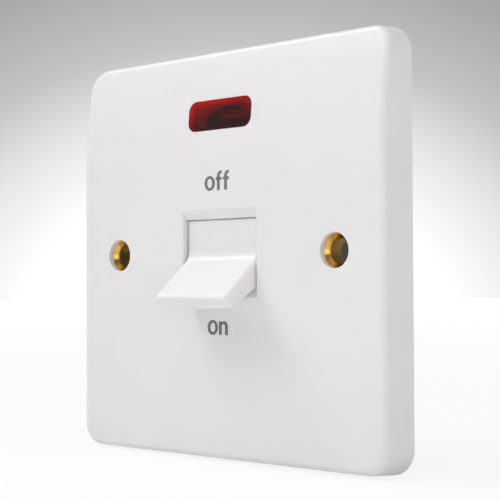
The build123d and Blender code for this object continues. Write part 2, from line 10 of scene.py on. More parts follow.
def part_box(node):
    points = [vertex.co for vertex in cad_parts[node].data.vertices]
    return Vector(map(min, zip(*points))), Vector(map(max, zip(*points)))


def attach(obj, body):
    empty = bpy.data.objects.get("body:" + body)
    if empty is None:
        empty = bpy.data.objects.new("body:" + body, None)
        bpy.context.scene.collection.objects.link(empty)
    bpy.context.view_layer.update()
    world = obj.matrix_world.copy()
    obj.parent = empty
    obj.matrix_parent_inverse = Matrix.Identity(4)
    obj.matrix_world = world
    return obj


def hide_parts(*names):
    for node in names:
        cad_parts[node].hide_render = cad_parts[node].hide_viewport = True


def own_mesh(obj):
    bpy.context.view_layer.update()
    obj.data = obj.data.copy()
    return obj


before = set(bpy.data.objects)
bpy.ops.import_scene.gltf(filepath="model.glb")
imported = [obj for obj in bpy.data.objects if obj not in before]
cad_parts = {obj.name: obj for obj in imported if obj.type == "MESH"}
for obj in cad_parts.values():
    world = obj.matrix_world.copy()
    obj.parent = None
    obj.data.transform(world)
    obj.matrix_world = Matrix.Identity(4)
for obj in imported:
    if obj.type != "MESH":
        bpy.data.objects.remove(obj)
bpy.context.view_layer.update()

bl_info = {
    "name": "Double pole switch looks",
    "version": (1, 0, 0),
    "blender": (4, 5, 0),
    "location": "3D View > Sidebar > Switch",
    "description": "Finishes, printed words, screws, lamp and stage for a double pole switch",
    "category": "Object",
}

MM = 0.001
HOUSING = "housing"
FACE_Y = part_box("front_plate")[0][1]
POLES = ("live", "neutral")
# Edges sharper than this stay sharp where a mesh is shaded smooth.
CREASE = math.radians(35)


# Colours and properties


def linear(hex_colour):
    """An sRGB hex colour as linear red, green and blue."""
    channels = []
    for start in (1, 3, 5):
        value = int(hex_colour[start : start + 2], 16) / 255
        channels.append(value / 12.92 if value <= 0.04045 else ((value + 0.055) / 1.055) ** 2.4)
    return tuple(channels)


def colour_property(label, hex_colour, description):
    return bpy.props.FloatVectorProperty(
        name=label, description=description, default=linear(hex_colour), subtype="COLOR", min=0, max=1
    )


def length_property(label, size_mm, description):
    return bpy.props.FloatProperty(name=label, description=description, default=size_mm * MM, unit="LENGTH")


def angle_property(label, degrees, description):
    return bpy.props.FloatProperty(
        name=label, description=description, default=math.radians(degrees), subtype="ANGLE"
    )


def power_property(label, watts, description):
    return bpy.props.FloatProperty(name=label, description=description, default=watts, unit="POWER")


class SwitchFinishes(bpy.types.PropertyGroup):
    """Colours of the switch's materials."""

    plate_white: colour_property("Plate white", "#EFEEEF", "Front plate and lever")
    plate_shade: colour_property("Plate shade", "#EAE9EA", "Faint cloudiness of the white moulding")
    base_charcoal: colour_property("Base", "#322F30", "Moulded body behind the plate")
    base_speck: colour_property("Base filler", "#403E3D", "Mineral filler that shows in the base")
    lens_red: colour_property("Lens red", "#E81C14", "Clear red lens")
    # Painted light: the lens walls are painted this brighter red towards the roof and the left end; the same
    # red tints light passing the lens front.
    lens_glow: colour_property("Lens glow", "#E2271D", "Frosted walls of the lens, where light scatters")
    # Painted shade: the foot and the right end of the lens are painted this deep red.
    lens_painted_shade: colour_property("Lens, deep", "#AA1E1A", "Foot and right end of the lens, out of the light")
    ink_grey: colour_property("Printed words", "#6B6D71", "Ink of the words on the plate")
    brass: colour_property("Brass", "#F2C66E", "Eyelets and terminals")
    brass_dark: colour_property("Brass, dulled", "#BE9040", "Older streaks on the brass")
    # Painted shade: the eyelets' bores are painted this dark brown in place of the shade that falls inside
    # them.
    bore_shade_brown: colour_property("Eyelet bore", "#846430", "Dull skin inside the eyelets")
    strip: colour_property("Earth strap", "#C9B583", "Stamped strip")
    zinc: colour_property("Zinc plate", "#B9BBBD", "Screws")
    copper: colour_property("Copper", "#C07F5C", "Contact arms and strips")
    silver: colour_property("Silver", "#DCDAD4", "Contact tips")
    nylon: colour_property("Nylon", "#3A3B3D", "Plungers")
    spring: colour_property("Spring wire", "#8E9092", "Plunger springs")
    sleeve: colour_property("Lead sleeve", "#2B2B2D", "Sleeved lamp leads")
    resistor: colour_property("Resistor", "#B79A6C", "Lacquered resistor")


class PrintedWords(bpy.types.PropertyGroup):
    """Sizes of the words on the plate."""

    # The shapes of the letters themselves are in the functions that draw them.
    off_left: length_property("Off, left edge", -3.83, "Left edge of the upper word")
    off_baseline: length_property("Off, baseline", 12.92, "Height of the upper word's baseline")
    on_left: length_property("On, left edge", -3.07, "Left edge of the lower word")
    on_baseline: length_property("On, baseline", -16.68, "Height of the lower word's baseline")
    stem: length_property("Stem", 0.80, "Width of upright strokes")
    bar: length_property("Bar", 0.58, "Thickness of level strokes")
    ink: length_property("Ink", 0.02, "Thickness of the ink")


class ScrewDetail(bpy.types.PropertyGroup):
    """Sizes of the screws' fine detail."""

    pitch: length_property("Pitch", 0.8, "Thread pitch of the clamping screws")
    thread_depth: length_property("Thread depth", 0.28, "Height of the thread")
    slot_width: length_property("Slot width", 0.9, "Width of the driver slot")
    slot_depth: length_property("Slot depth", 1.1, "Depth of the driver slot")


class StageSetting(bpy.types.PropertyGroup):
    """Camera, lamps and floor."""

    camera_place: bpy.props.FloatVectorProperty(
        name="Camera", description="Place of the camera", default=(0.18203, -0.19871, -0.00625),
        subtype="TRANSLATION", unit="LENGTH",
    )
    yaw: angle_property("Yaw", 42.297, "Turn to the left")
    pitch: angle_property("Pitch", 1.497, "Upward tilt")
    roll: angle_property("Roll", -0.235, "Turn about the line of sight")
    lens: bpy.props.FloatProperty(
        name="Focal length", description="Lens on a 36 mm sensor", default=92.753, unit="CAMERA"
    )
    horizon: bpy.props.FloatProperty(
        name="Room light, level", description="Strength of the room's light at eye level", default=0.1
    )
    zenith: bpy.props.FloatProperty(
        name="Room light, above", description="Strength of the room's light overhead", default=1.0
    )
    key: power_property("Key lamp", 2.4, "Lamp above on the left")
    top: power_property("Top lamp", 0.15, "Wide soft lamp above and in front")
    fill: power_property("Fill lamp", 1.05, "Lamp on the right")
    table: power_property("Table lamp", 0.25, "Lamp over the floor, which lights the underside from below")
    glow_distance: length_property("Backdrop distance", 3000, "How far the backdrop is from the camera")
    glow_radius: length_property("Glow radius", 930, "Where the backdrop has fallen to its darkest grey")
    glow_drop: length_property("Glow drop", 240, "How far the bright middle lies below the line of sight")
    glow_shift: length_property("Glow shift", 27, "How far the bright middle lies to the left")
    glow_stretch: bpy.props.FloatProperty(
        name="Glow stretch", description="Width of the bright middle over its height", default=1.245
    )


# Nodes and materials


def add_node(tree, kind, inputs=None, **settings):
    """Adds a node with its settings, and gives its inputs values or links."""
    node = tree.nodes.new(kind)
    for key, value in settings.items():
        setattr(node, key, value)
    for key, value in (inputs or {}).items():
        if isinstance(value, bpy.types.NodeSocket):
            tree.links.new(value, node.inputs[key])
        else:
            node.inputs[key].default_value = value
    return node


def start_material(name, **shader_inputs):
    """A material with one surface shader: returns it with its tree, its shader and the object coordinates."""
    material = bpy.data.materials.new(name)
    material.use_nodes = True
    tree = material.node_tree
    tree.nodes.clear()
    values = {key.replace("_", " "): value for key, value in shader_inputs.items()}
    shader = add_node(tree, "ShaderNodeBsdfPrincipled", values)
    add_node(tree, "ShaderNodeOutputMaterial", {"Surface": shader.outputs["BSDF"]})
    place = add_node(tree, "ShaderNodeTexCoord").outputs["Object"]
    return material, tree, shader, place


def finish_surface(tree, surface):
    """Gives the material this surface in place of its first shader."""
    output = next(node for node in tree.nodes if node.type == "OUTPUT_MATERIAL")
    tree.links.new(surface, output.inputs["Surface"])


def cloud(tree, shader, place, spot_mm, first, second, detail=2.0):
    """Lets the colour drift between two tones, in spots about spot_mm across."""
    spots = add_node(
        tree, "ShaderNodeTexNoise", {"Vector": place, "Scale": 1 / (spot_mm * MM), "Detail": detail}
    ).outputs["Fac"]
    tones = {0: spots, 6: (*first, 1), 7: (*second, 1)}
    mixed = add_node(tree, "ShaderNodeMix", tones, data_type="RGBA")
    tree.links.new(mixed.outputs[2], shader.inputs["Base Color"])


def uneven_gloss(tree, shader, place, spot_mm, low, high):
    """Lets the roughness vary from low to high, in spots about spot_mm across."""
    spots = add_node(tree, "ShaderNodeTexNoise", {"Vector": place, "Scale": 1 / (spot_mm * MM)}).outputs["Fac"]
    # Most of a noise's values lie from 0.3 to 0.7.
    levels = {"Value": spots, "From Min": 0.3, "From Max": 0.7, "To Min": low, "To Max": high}
    spread = add_node(tree, "ShaderNodeMapRange", levels)
    tree.links.new(spread.outputs["Result"], shader.inputs["Roughness"])


def grain(tree, shader, place, spot_mm, strength, depth_mm):
    """Gives the surface a fine relief, with spots about spot_mm across."""
    height = add_node(tree, "ShaderNodeTexNoise", {"Vector": place, "Scale": 1 / (spot_mm * MM)}).outputs["Fac"]
    relief = {"Height": height, "Strength": strength, "Distance": depth_mm * MM}
    bump = add_node(tree, "ShaderNodeBump", relief)
    tree.links.new(bump.outputs["Normal"], shader.inputs["Normal"])


def moulding(name, light, dark, cloud_mm, grain_mm, roughness, grain_depth_mm):
    """A moulded plastic: faint cloudiness, uneven gloss and the grain of the tool."""
    material, tree, shader, place = start_material(name, IOR=1.5)
    cloud(tree, shader, place, cloud_mm, light, dark)
    uneven_gloss(tree, shader, place, cloud_mm / 4, *roughness)
    grain(tree, shader, place, grain_mm, strength=0.1, depth_mm=grain_depth_mm)
    return material


def metal(name, bright, dull, streak_mm, grain_mm, roughness, stretch=(1, 1, 1)):
    """A metal: dulled streaks, uneven gloss and fine tool marks drawn out along one way."""
    material, tree, shader, place = start_material(name, Metallic=1.0)
    drawn = add_node(tree, "ShaderNodeMapping", {"Vector": place, "Scale": stretch}).outputs["Vector"]
    cloud(tree, shader, drawn, streak_mm, bright, dull, detail=3.0)
    uneven_gloss(tree, shader, drawn, grain_mm, *roughness)
    grain(tree, shader, drawn, grain_mm, strength=0.25, depth_mm=0.01)
    return material


def turned_brass():
    # Turned brass: warm gold, with lathe rings about each eyelet and a few dulled patches.
    finishes = bpy.context.scene.switch_finishes
    material, tree, shader, place = start_material("turned_brass", Metallic=1.0)
    fixing_x, bore_radius, flare_radius = 30.15 * MM, 2.42 * MM, 2.7 * MM
    patch_mm = 3.0
    # The two eyelets share one centre once the part is folded over its middle.
    folded = add_node(tree, "ShaderNodeVectorMath", {0: place}, operation="ABSOLUTE").outputs[0]
    about = add_node(
        tree, "ShaderNodeVectorMath", {0: folded, 1: (fixing_x, 0, 0)}, operation="SUBTRACT"
    ).outputs[0]
    # Lathe rings 1.57 mm apart, far coarser than a real tool's feed so that they show. At scale 1 the
    # wave's own rings are a tenth of pi apart.
    ring_mm = 1.5708
    rings = add_node(
        tree, "ShaderNodeTexWave", {"Vector": about, "Scale": math.pi / 10 / (ring_mm * MM), "Distortion": 1.5},
        wave_type="RINGS", rings_direction="Y",
    ).outputs["Fac"]
    # Painted shade: the bore's colour is painted a dull dark brown in place of the shade inside the tube, and
    # the bore gets a rougher skin. Only the flare is polished by the tool and keeps the bright brass.
    flat = add_node(tree, "ShaderNodeVectorMath", {0: about, 1: (1, 0, 1)}, operation="MULTIPLY").outputs[0]
    radius = add_node(tree, "ShaderNodeVectorMath", {0: flat}, operation="LENGTH").outputs["Value"]
    burnished_unshaded = add_node(
        tree, "ShaderNodeMapRange", {"Value": radius, "From Min": bore_radius, "From Max": flare_radius}
    ).outputs["Result"]
    patches = add_node(
        tree, "ShaderNodeTexNoise", {"Vector": place, "Scale": 1 / (patch_mm * MM), "Detail": 3.0}
    ).outputs["Fac"]
    tones = {0: patches, 6: (*finishes.brass, 1), 7: (*finishes.brass_dark, 1)}
    bright = add_node(tree, "ShaderNodeMix", tones, data_type="RGBA").outputs[2]
    tones = {0: burnished_unshaded, 6: (*finishes.bore_shade_brown, 1), 7: bright}
    colour = add_node(tree, "ShaderNodeMix", tones, data_type="RGBA").outputs[2]
    tree.links.new(colour, shader.inputs["Base Color"])
    gloss = add_node(tree, "ShaderNodeMapRange", {"Value": burnished_unshaded, "To Min": 0.5, "To Max": 0.2})
    tree.links.new(gloss.outputs["Result"], shader.inputs["Roughness"])
    bump = add_node(tree, "ShaderNodeBump", {"Height": rings, "Strength": 0.15, "Distance": 0.01 * MM})
    tree.links.new(bump.outputs["Normal"], shader.inputs["Normal"])
    return material


def clear_red_lens():
    # Polycarbonate, injection moulded: clear deep red, polished over the window, so the eye sees the dark lamp
    # behind it. The thick rim and the frosted walls scatter the light that enters, and glow a brighter red;
    # their colour also holds painted light towards the upper left and painted shade at the foot and the right
    # end.
    finishes = bpy.context.scene.switch_finishes
    material, tree, shader, place = start_material(
        "clear_red_polycarbonate", IOR=1.58, Specular_IOR_Level=0.25
    )
    low, high = (Vector(corner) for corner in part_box("neon_lens"))
    middle = (low + high) / 2
    # The polished faces: the front, bent as it is, and the flat window of the hollow behind it.
    front_depth, window_depth, window_play = 0.75 * MM, 2.6 * MM, 0.05 * MM
    depth = add_node(tree, "ShaderNodeSeparateXYZ", {"Vector": place}).outputs["Y"]
    front = add_node(
        tree, "ShaderNodeMath", {0: depth, 1: low.y + front_depth}, operation="LESS_THAN"
    ).outputs[0]
    window = add_node(
        tree, "ShaderNodeMath", {0: depth, 1: FACE_Y + window_depth, 2: window_play}, operation="COMPARE"
    ).outputs[0]
    clear = add_node(tree, "ShaderNodeMath", {0: front, 1: window}, operation="MAXIMUM").outputs[0]
    # How far a point lies beyond the window, towards the rim: below 0 over the window itself.
    half_window = (7.7 * MM, 0, 2.3 * MM)
    spread = add_node(
        tree, "ShaderNodeVectorMath", {0: place, 1: (middle.x, 0, middle.z)}, operation="SUBTRACT"
    ).outputs[0]
    spread = add_node(tree, "ShaderNodeVectorMath", {0: spread}, operation="ABSOLUTE").outputs[0]
    spread = add_node(
        tree, "ShaderNodeVectorMath", {0: spread, 1: half_window}, operation="SUBTRACT"
    ).outputs[0]
    beyond = add_node(tree, "ShaderNodeSeparateXYZ", {"Vector": spread}).outputs
    rim = add_node(tree, "ShaderNodeMath", {0: beyond["X"], 1: beyond["Z"]}, operation="MAXIMUM").outputs[0]
    # Painted light and shade: the walls' colour is painted brightest red at the roof and less bright at the
    # left end, as if lit from the upper left. The foot and the right end are painted a deep red shade.
    # Scattering is kept to the same painted lit side.
    from_middle = add_node(tree, "ShaderNodeVectorMath", {0: place, 1: middle}, operation="SUBTRACT").outputs[0]
    left_share = 0.3
    slant = (-left_share / (high.x - low.x), 0, 1 / (high.z - low.z))
    facing = add_node(
        tree, "ShaderNodeVectorMath", {0: from_middle, 1: slant}, operation="DOT_PRODUCT"
    ).outputs["Value"]
    painted_lit_side = add_node(
        tree, "ShaderNodeMapRange", {"Value": facing, "From Min": -0.2, "From Max": 0.5}
    ).outputs["Result"]
    # The share of light that scatters, from nearly none over the window to most at the rim.
    inner_edge, outer_edge = -0.7 * MM, 0.8 * MM
    scatter = add_node(
        tree, "ShaderNodeMapRange",
        {"Value": rim, "From Min": inner_edge, "From Max": outer_edge, "To Min": 0.03, "To Max": 0.6},
    ).outputs["Result"]
    scatter = add_node(tree, "ShaderNodeMath", {0: scatter, 1: painted_lit_side}, operation="MULTIPLY").outputs[0]
    clarity = add_node(tree, "ShaderNodeMath", {0: 1.0, 1: scatter}, operation="SUBTRACT").outputs[0]
    passing = add_node(tree, "ShaderNodeMath", {0: clear, 1: clarity}, operation="MULTIPLY").outputs[0]
    tree.links.new(passing, shader.inputs["Transmission Weight"])
    gloss = add_node(tree, "ShaderNodeMapRange", {"Value": clear, "To Min": 0.5, "To Max": 0.05})
    tree.links.new(gloss.outputs["Result"], shader.inputs["Roughness"])
    shades = {0: painted_lit_side, 6: (*finishes.lens_painted_shade, 1), 7: (*finishes.lens_glow, 1)}
    walls = add_node(tree, "ShaderNodeMix", shades, data_type="RGBA").outputs[2]
    shades = {0: clear, 6: walls, 7: (*finishes.lens_red, 1)}
    colour = add_node(tree, "ShaderNodeMix", shades, data_type="RGBA").outputs[2]
    tree.links.new(colour, shader.inputs["Base Color"])
    grain(tree, shader, place, 3.0, strength=0.05, depth_mm=0.01)
    # Light on its way to the frosted walls passes the polished front, and is tinted by it.
    tinted = add_node(tree, "ShaderNodeBsdfTransparent", {"Color": (*finishes.lens_glow, 1)}).outputs["BSDF"]
    path = add_node(tree, "ShaderNodeLightPath").outputs
    lit = add_node(
        tree, "ShaderNodeMath", {0: path["Is Shadow Ray"], 1: path["Is Diffuse Ray"]}, operation="MAXIMUM"
    ).outputs[0]
    passed = add_node(tree, "ShaderNodeMath", {0: lit, 1: clear}, operation="MULTIPLY").outputs[0]
    surface = add_node(tree, "ShaderNodeMixShader", {0: passed, 1: shader.outputs["BSDF"], 2: tinted})
    finish_surface(tree, surface.outputs["Shader"])
    return material


def lamp_glass():
    # Drawn soda glass: clear, with a faint waviness.
    material, tree, shader, place = start_material(
        "drawn_lamp_glass", Roughness=0.03, IOR=1.5, Transmission_Weight=1.0
    )
    cloud(tree, shader, place, 2.0, linear("#FAF9F7"), linear("#F3F3F3"))
    grain(tree, shader, place, 1.5, strength=0.1, depth_mm=0.01)
    return material


def printed_ink():
    # Pad-printed ink: flat mid grey, a little uneven in density.
    finishes = bpy.context.scene.switch_finishes
    material, tree, shader, place = start_material("pad_printed_grey_ink", IOR=1.5)
    thinning = 1.18
    thin = tuple(min(1.0, channel * thinning) for channel in finishes.ink_grey)
    cloud(tree, shader, place, 0.5, finishes.ink_grey, thin)
    uneven_gloss(tree, shader, place, 0.3, low=0.45, high=0.6)
    return material


def banded_resistor():
    # Lacquered film resistor: glossy tan body with four painted bands.
    finishes = bpy.context.scene.switch_finishes
    material, tree, shader, place = start_material("lacquered_resistor", Roughness=0.3, IOR=1.5)
    along = add_node(tree, "ShaderNodeSeparateXYZ", {"Vector": place}).outputs["Y"]
    low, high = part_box("series_resistor")
    share = add_node(
        tree, "ShaderNodeMapRange", {"Value": along, "From Min": low[1], "From Max": high[1]}
    ).outputs["Result"]
    ramp = add_node(tree, "ShaderNodeValToRGB", {"Fac": share})
    ramp.color_ramp.interpolation = "CONSTANT"
    stops = ramp.color_ramp.elements
    # Places and widths are shares of the body's length.
    first_band, band_step, band_width, body_end = 0.15, 0.19, 0.1, 0.98
    stops[1].position = body_end
    for stop in stops:
        stop.color = (*finishes.resistor, 1)
    for index, band in enumerate(("#7A4A21", "#2B2B2D", "#D9B53A", "#A8782C")):
        start = first_band + band_step * index
        stops.new(start).color = (*linear(band), 1)
        stops.new(start + band_width).color = (*finishes.resistor, 1)
    tree.links.new(ramp.outputs["Color"], shader.inputs["Base Color"])
    grain(tree, shader, place, 0.6, strength=0.1, depth_mm=0.02)
    return material


def finish_nodes(material, *names):
    """Gives CAD nodes a material."""
    for name in names:
        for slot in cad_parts[name].material_slots:
            slot.material = material


# Shapes


def add_piece(name, mesh, material, body):
    """A finished piece at the origin, riding on a body."""
    piece = bpy.data.objects.new(name, mesh)
    bpy.context.scene.collection.objects.link(piece)
    mesh.materials.clear()
    mesh.materials.append(material)
    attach(piece, body)
    return piece


def arc(centre, radii, start, end, steps=14):
    """Points of an ellipse's arc, with its angles in degrees."""
    points = []
    for step in range(steps + 1):
        angle = math.radians(start + (end - start) * step / steps)
        points.append((centre[0] + radii[0] * math.cos(angle), centre[1] + radii[1] * math.sin(angle)))
    return points


def letter_o(left, stem, bar):
    """Outer and inner outline of an o that starts at left, in millimetres over the baseline."""
    half_width, half_height, middle, steps = 1.48, 1.54, 1.5, 48
    centre = (left + half_width, middle)
    outer = arc(centre, (half_width, half_height), 0, 360, steps)[:-1]
    inner = arc(centre, (half_width - stem, half_height - bar), 0, 360, steps)[:-1]
    return [outer, inner]


def letter_f(left, stem, bar):
    """Outline of an f whose stem starts at left: a hooked stem with a short bar."""
    bar_top, bar_reach, height, reach, hook_end = 2.66, 0.36, 4.0, 1.34, 0.2
    bar_foot, tip = bar_top - bar, left + reach
    hook_radius = reach - hook_end
    hook_centre = (left + hook_radius, height - hook_radius)
    right = left + stem
    outline = [(left, 0), (left, bar_foot), (left - bar_reach, bar_foot), (left - bar_reach, bar_top)]
    outline += [(left, bar_top)]
    outline += arc(hook_centre, (hook_radius, hook_radius), 180, 90)
    outline += [(tip, height), (tip, height - bar)]
    outline += arc(hook_centre, (hook_radius - stem, hook_radius - bar), 90, 180)
    outline += [(right, bar_top), (tip, bar_top), (tip, bar_foot), (right, bar_foot), (right, 0)]
    return [outline]


def letter_n(left, stem, bar):
    """Outline of an n: a stem and an arch."""
    width, height, arch_radius, arch_start, inner_height = 2.5, 2.82, 1.02, 128, 0.52
    stem_top, stem_lip = height - 0.03, stem - 0.06
    right = left + width
    outline = [(left, 0), (left, stem_top), (left + stem_lip, stem_top)]
    outline += arc((right - arch_radius, height - arch_radius), (arch_radius, arch_radius), arch_start, 0)
    outline += [(right, 0), (right - stem, 0)]
    inner_centre = (left + width / 2, height - bar - inner_height)
    outline += arc(inner_centre, (width / 2 - stem, inner_height), 0, 180)
    outline += [(left + stem, 0)]
    return [outline]


def word_mesh(name, outlines, baseline, ink):
    """Flat outlines in millimetres made a thin solid that stands on the plate's face."""
    curve = bpy.data.curves.new(name, "CURVE")
    curve.dimensions = "2D"
    curve.fill_mode = "BOTH"
    curve.extrude = ink / 2
    for outline in outlines:
        spline = curve.splines.new("POLY")
        spline.points.add(len(outline) - 1)
        for point, (x, z) in zip(spline.points, outline):
            point.co = (x * MM, z * MM + baseline, 0, 1)
        spline.use_cyclic_u = True
    drawing = bpy.data.objects.new(name, curve)
    bpy.context.scene.collection.objects.link(drawing)
    bpy.context.view_layer.update()
    seen = drawing.evaluated_get(bpy.context.evaluated_depsgraph_get())
    mesh = bpy.data.meshes.new_from_object(seen)
    bpy.data.objects.remove(drawing)
    bpy.data.curves.remove(curve)
    upright = Matrix(((1, 0, 0, 0), (0, 0, -1, FACE_Y - ink / 2), (0, 1, 0, 0), (0, 0, 0, 1)))
    mesh.transform(upright)
    return mesh


def spun_mesh(name, profile, centre, steps):
    """A closed mesh spun about X from a profile of distances along and from the axis."""
    along, side, other = Vector((1, 0, 0)), Vector((0, 1, 0)), Vector((0, 0, 1))
    # A ring smaller than this is a pole, and gets one point.
    pole = 1e-9
    turned = bmesh.new()
    rows = []
    for distance, radius in profile:
        row = []
        for step in range(steps if radius > pole else 1):
            angle = 2 * math.pi * step / steps
            offset = side * math.cos(angle) + other * math.sin(angle)
            row.append(turned.verts.new(Vector(centre) + along * distance + offset * radius))
        rows.append(row)
    for first, second in zip(rows, rows[1:]):
        for step in range(steps):
            corners = [
                first[step % len(first)], first[(step + 1) % len(first)],
                second[(step + 1) % len(second)], second[step % len(second)],
            ]
            corners = list(dict.fromkeys(corners))
            if len(corners) > 2:
                turned.faces.new(corners)
    bmesh.ops.recalc_face_normals(turned, faces=turned.faces)
    mesh = bpy.data.meshes.new(name)
    turned.to_mesh(mesh)
    turned.free()
    return mesh


def joined_mesh(name, parts):
    """One smooth mesh made of several, which are removed."""
    whole = bmesh.new()
    for part in parts:
        whole.from_mesh(part)
        bpy.data.meshes.remove(part)
    mesh = bpy.data.meshes.new(name)
    whole.to_mesh(mesh)
    whole.free()
    mesh.shade_smooth()
    return mesh


def bulb_mesh(name, low, high):
    """A lamp's glass bulb between two corners, along X: round ends, and a wall with an inner side."""
    wall, steps, bend_steps = 0.3 * MM, 32, 10
    radius = (high.z - low.z) / 2
    straight = (high.x - low.x) / 2 - radius
    sides = []
    for size in (radius, radius - wall):
        profile = arc((-straight, 0), (size, size), 180, 90, bend_steps)
        profile += arc((straight, 0), (size, size), 90, 0, bend_steps)
        sides.append(spun_mesh("bulb_side", profile, (low + high) / 2, steps))
    sides[1].flip_normals()
    return joined_mesh(name, sides)


def electrode_mesh(name, centre):
    """A lamp's two electrodes: rods along X, one from each end, side by side in the middle."""
    radius, spacing, outer_end, inner_end, steps = 0.35 * MM, 0.55 * MM, 4.4 * MM, -2.6 * MM, 16
    edge = radius * 0.3
    rods = []
    for side in (-1, 1):
        low, high = sorted((side * outer_end, side * inner_end))
        profile = [
            (low, 0), (low, radius - edge), (low + edge, radius),
            (high - edge, radius), (high, radius - edge), (high, 0),
        ]
        rods.append(spun_mesh("rod", profile, centre + Vector((0, 0, side * spacing)), steps))
    return joined_mesh(name, rods)


def merged_copy(name, material, body):
    """A copy of a CAD node with its triangles joined, which stands for it with even shading."""
    joined = bmesh.new()
    joined.from_mesh(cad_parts[name].data)
    bmesh.ops.remove_doubles(joined, verts=joined.verts, dist=1e-6)
    mesh = bpy.data.meshes.new(name + "_joined")
    joined.to_mesh(mesh)
    joined.free()
    mesh.shade_smooth()
    mesh.set_sharp_from_angle(angle=CREASE)
    piece = add_piece(name + "_joined", mesh, material, body)
    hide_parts(name)
    return piece


# Geometry nodes


def start_tree(name, sizes):
    """A geometry tree with named length inputs: returns it with its input node."""
    tree = bpy.data.node_groups.new(name, "GeometryNodeTree")
    for label, value in sizes.items():
        socket = tree.interface.new_socket(label, in_out="INPUT", socket_type="NodeSocketFloat")
        socket.subtype = "DISTANCE"
        socket.default_value = value
    tree.interface.new_socket("Geometry", in_out="OUTPUT", socket_type="NodeSocketGeometry")
    return tree, tree.nodes.new("NodeGroupInput")


def end_tree(tree, geometry, material):
    """Makes the instances real and gives them their material."""
    real = add_node(tree, "GeometryNodeRealizeInstances", {"Geometry": geometry})
    dressed = add_node(
        tree, "GeometryNodeSetMaterial", {"Geometry": real.outputs["Geometry"], "Material": material}
    )
    add_node(tree, "NodeGroupOutput", {"Geometry": dressed.outputs["Geometry"]})


def grown_mesh(name, tree, sizes):
    """The plain mesh that a tree grows with these sizes."""
    seed = bpy.data.objects.new(name, bpy.data.meshes.new(name + "_seed"))
    bpy.context.scene.collection.objects.link(seed)
    modifier = seed.modifiers.new(name, "NODES")
    modifier.node_group = tree
    for item in tree.interface.items_tree:
        if item.in_out == "INPUT" and item.name in sizes:
            modifier[item.identifier] = sizes[item.name]
    bpy.context.view_layer.update()
    seen = seed.evaluated_get(bpy.context.evaluated_depsgraph_get())
    mesh = bpy.data.meshes.new_from_object(seen)
    seed.modifiers.remove(modifier)
    bpy.data.objects.remove(seed)
    if not mesh.polygons:
        raise RuntimeError(f"{name} has no faces")
    mesh.name = name
    return mesh


def clamp_screw_tree(material, places, sizes):
    """Headless clamping screws along Y: a slotted core with a thread wound round it, at each place."""
    tree, group = start_tree("clamp_screws", sizes)
    radius, length, pitch = (group.outputs[name] for name in ("Radius", "Length", "Pitch"))
    depth, slot_width, slot_depth = (
        group.outputs[name] for name in ("Thread Depth", "Slot Width", "Slot Depth")
    )
    core_radius = add_node(tree, "ShaderNodeMath", {0: radius, 1: depth}, operation="SUBTRACT").outputs[0]
    core = add_node(
        tree, "GeometryNodeMeshCylinder", {"Vertices": 40, "Radius": core_radius, "Depth": length}
    ).outputs["Mesh"]
    # The thread runs out before the ends of the screw.
    wound_share = 0.85
    turns = add_node(tree, "ShaderNodeMath", {0: length, 1: pitch}, operation="DIVIDE").outputs[0]
    wound = add_node(tree, "ShaderNodeMath", {0: turns, 1: wound_share}, operation="MULTIPLY").outputs[0]
    rise = add_node(tree, "ShaderNodeMath", {0: wound, 1: pitch}, operation="MULTIPLY").outputs[0]
    winding = add_node(
        tree, "GeometryNodeCurveSpiral",
        {
            "Resolution": 28, "Rotations": wound, "Height": rise,
            "Start Radius": core_radius, "End Radius": core_radius,
        },
    ).outputs["Curve"]
    ridge = add_node(
        tree, "GeometryNodeCurvePrimitiveCircle", {"Resolution": 4, "Radius": depth}, mode="RADIUS"
    )
    thread = add_node(
        tree, "GeometryNodeCurveToMesh",
        {"Curve": winding, "Profile Curve": ridge.outputs["Curve"], "Fill Caps": True},
    ).outputs["Mesh"]
    lowered = add_node(tree, "ShaderNodeMath", {0: rise, 1: -0.5}, operation="MULTIPLY").outputs[0]
    down = add_node(tree, "ShaderNodeCombineXYZ", {"Z": lowered}).outputs["Vector"]
    thread = add_node(
        tree, "GeometryNodeTransform", {"Geometry": thread, "Translation": down}
    ).outputs["Geometry"]
    # The slot's cutter stands across the +Z end, half of it in the screw, and reaches past its sides.
    half_length = add_node(tree, "ShaderNodeMath", {0: length, 1: 0.5}, operation="MULTIPLY").outputs[0]
    across = add_node(tree, "ShaderNodeMath", {0: radius, 1: 4.0}, operation="MULTIPLY").outputs[0]
    tall = add_node(tree, "ShaderNodeMath", {0: slot_depth, 1: 2.0}, operation="MULTIPLY").outputs[0]
    slot_size = add_node(
        tree, "ShaderNodeCombineXYZ", {"X": across, "Y": slot_width, "Z": tall}
    ).outputs["Vector"]
    slot_place = add_node(tree, "ShaderNodeCombineXYZ", {"Z": half_length}).outputs["Vector"]
    cutter = add_node(tree, "GeometryNodeMeshCube", {"Size": slot_size}).outputs["Mesh"]
    cutter = add_node(
        tree, "GeometryNodeTransform", {"Geometry": cutter, "Translation": slot_place}
    ).outputs["Geometry"]
    screw = add_node(tree, "GeometryNodeJoinGeometry")
    for shape in (core, thread):
        cut = add_node(
            tree, "GeometryNodeMeshBoolean", {"Mesh 1": shape, "Mesh 2": cutter}, operation="DIFFERENCE"
        )
        tree.links.new(cut.outputs["Mesh"], screw.inputs["Geometry"])
    points = add_node(tree, "GeometryNodeJoinGeometry")
    for place in places:
        spot = add_node(tree, "GeometryNodePoints", {"Count": 1, "Position": place})
        tree.links.new(spot.outputs["Points"], points.inputs["Geometry"])
    # Turned about X so that the slotted end, at +Z in the tree, points to +Y.
    screws = add_node(
        tree, "GeometryNodeInstanceOnPoints",
        {
            "Points": points.outputs["Geometry"], "Instance": screw.outputs["Geometry"],
            "Rotation": (math.radians(-90), 0, 0),
        },
    )
    end_tree(tree, screws.outputs["Instances"], material)
    return tree


# Operators


